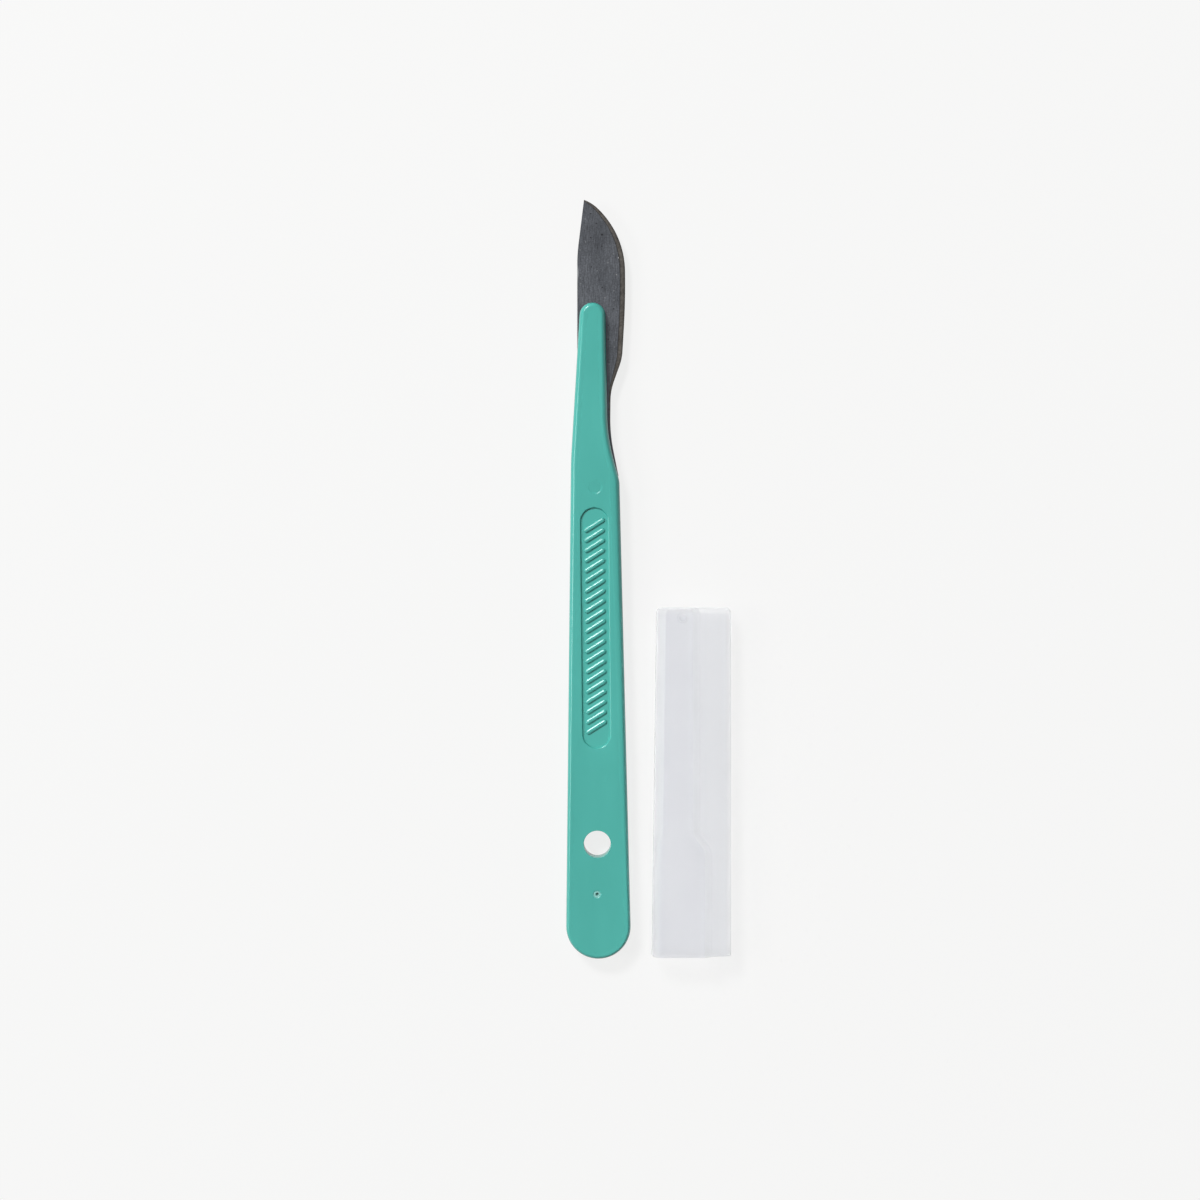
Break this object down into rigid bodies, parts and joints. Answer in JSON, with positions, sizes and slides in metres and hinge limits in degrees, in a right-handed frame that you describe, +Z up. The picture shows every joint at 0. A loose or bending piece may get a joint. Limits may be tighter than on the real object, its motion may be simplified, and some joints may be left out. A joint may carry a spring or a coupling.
{
  "type": "disposable scalpel",
  "caption": "Disposable scalpel: a flat moulded handle with a ribbed grip and hanging hole, a steel blade with a rounded belly, and its frosted blade cover lying beside it.",
  "frame": {"origin": "on the axis of the hanging hole, in the plane that the scalpel and its cover rest on", "axes": "+Y along the handle towards the blade's tip, +X towards the cutting edge's side, +Z up, along the hanging hole"},
  "size_m": [0.0336, 0.1519, 0.0073],
  "materials": {
    "handle_plastic": "moulded green plastic with a soft gloss",
    "blade_steel": "dark carbon steel, finely brushed lengthwise, with a ground cutting edge",
    "cover_plastic": "frosted translucent plastic"
  },
  "bodies": {
    "root": {"handle": "handle_plastic", "blade": "blade_steel", "blade_cover": "cover_plastic"}
  },
  "joints": []
}
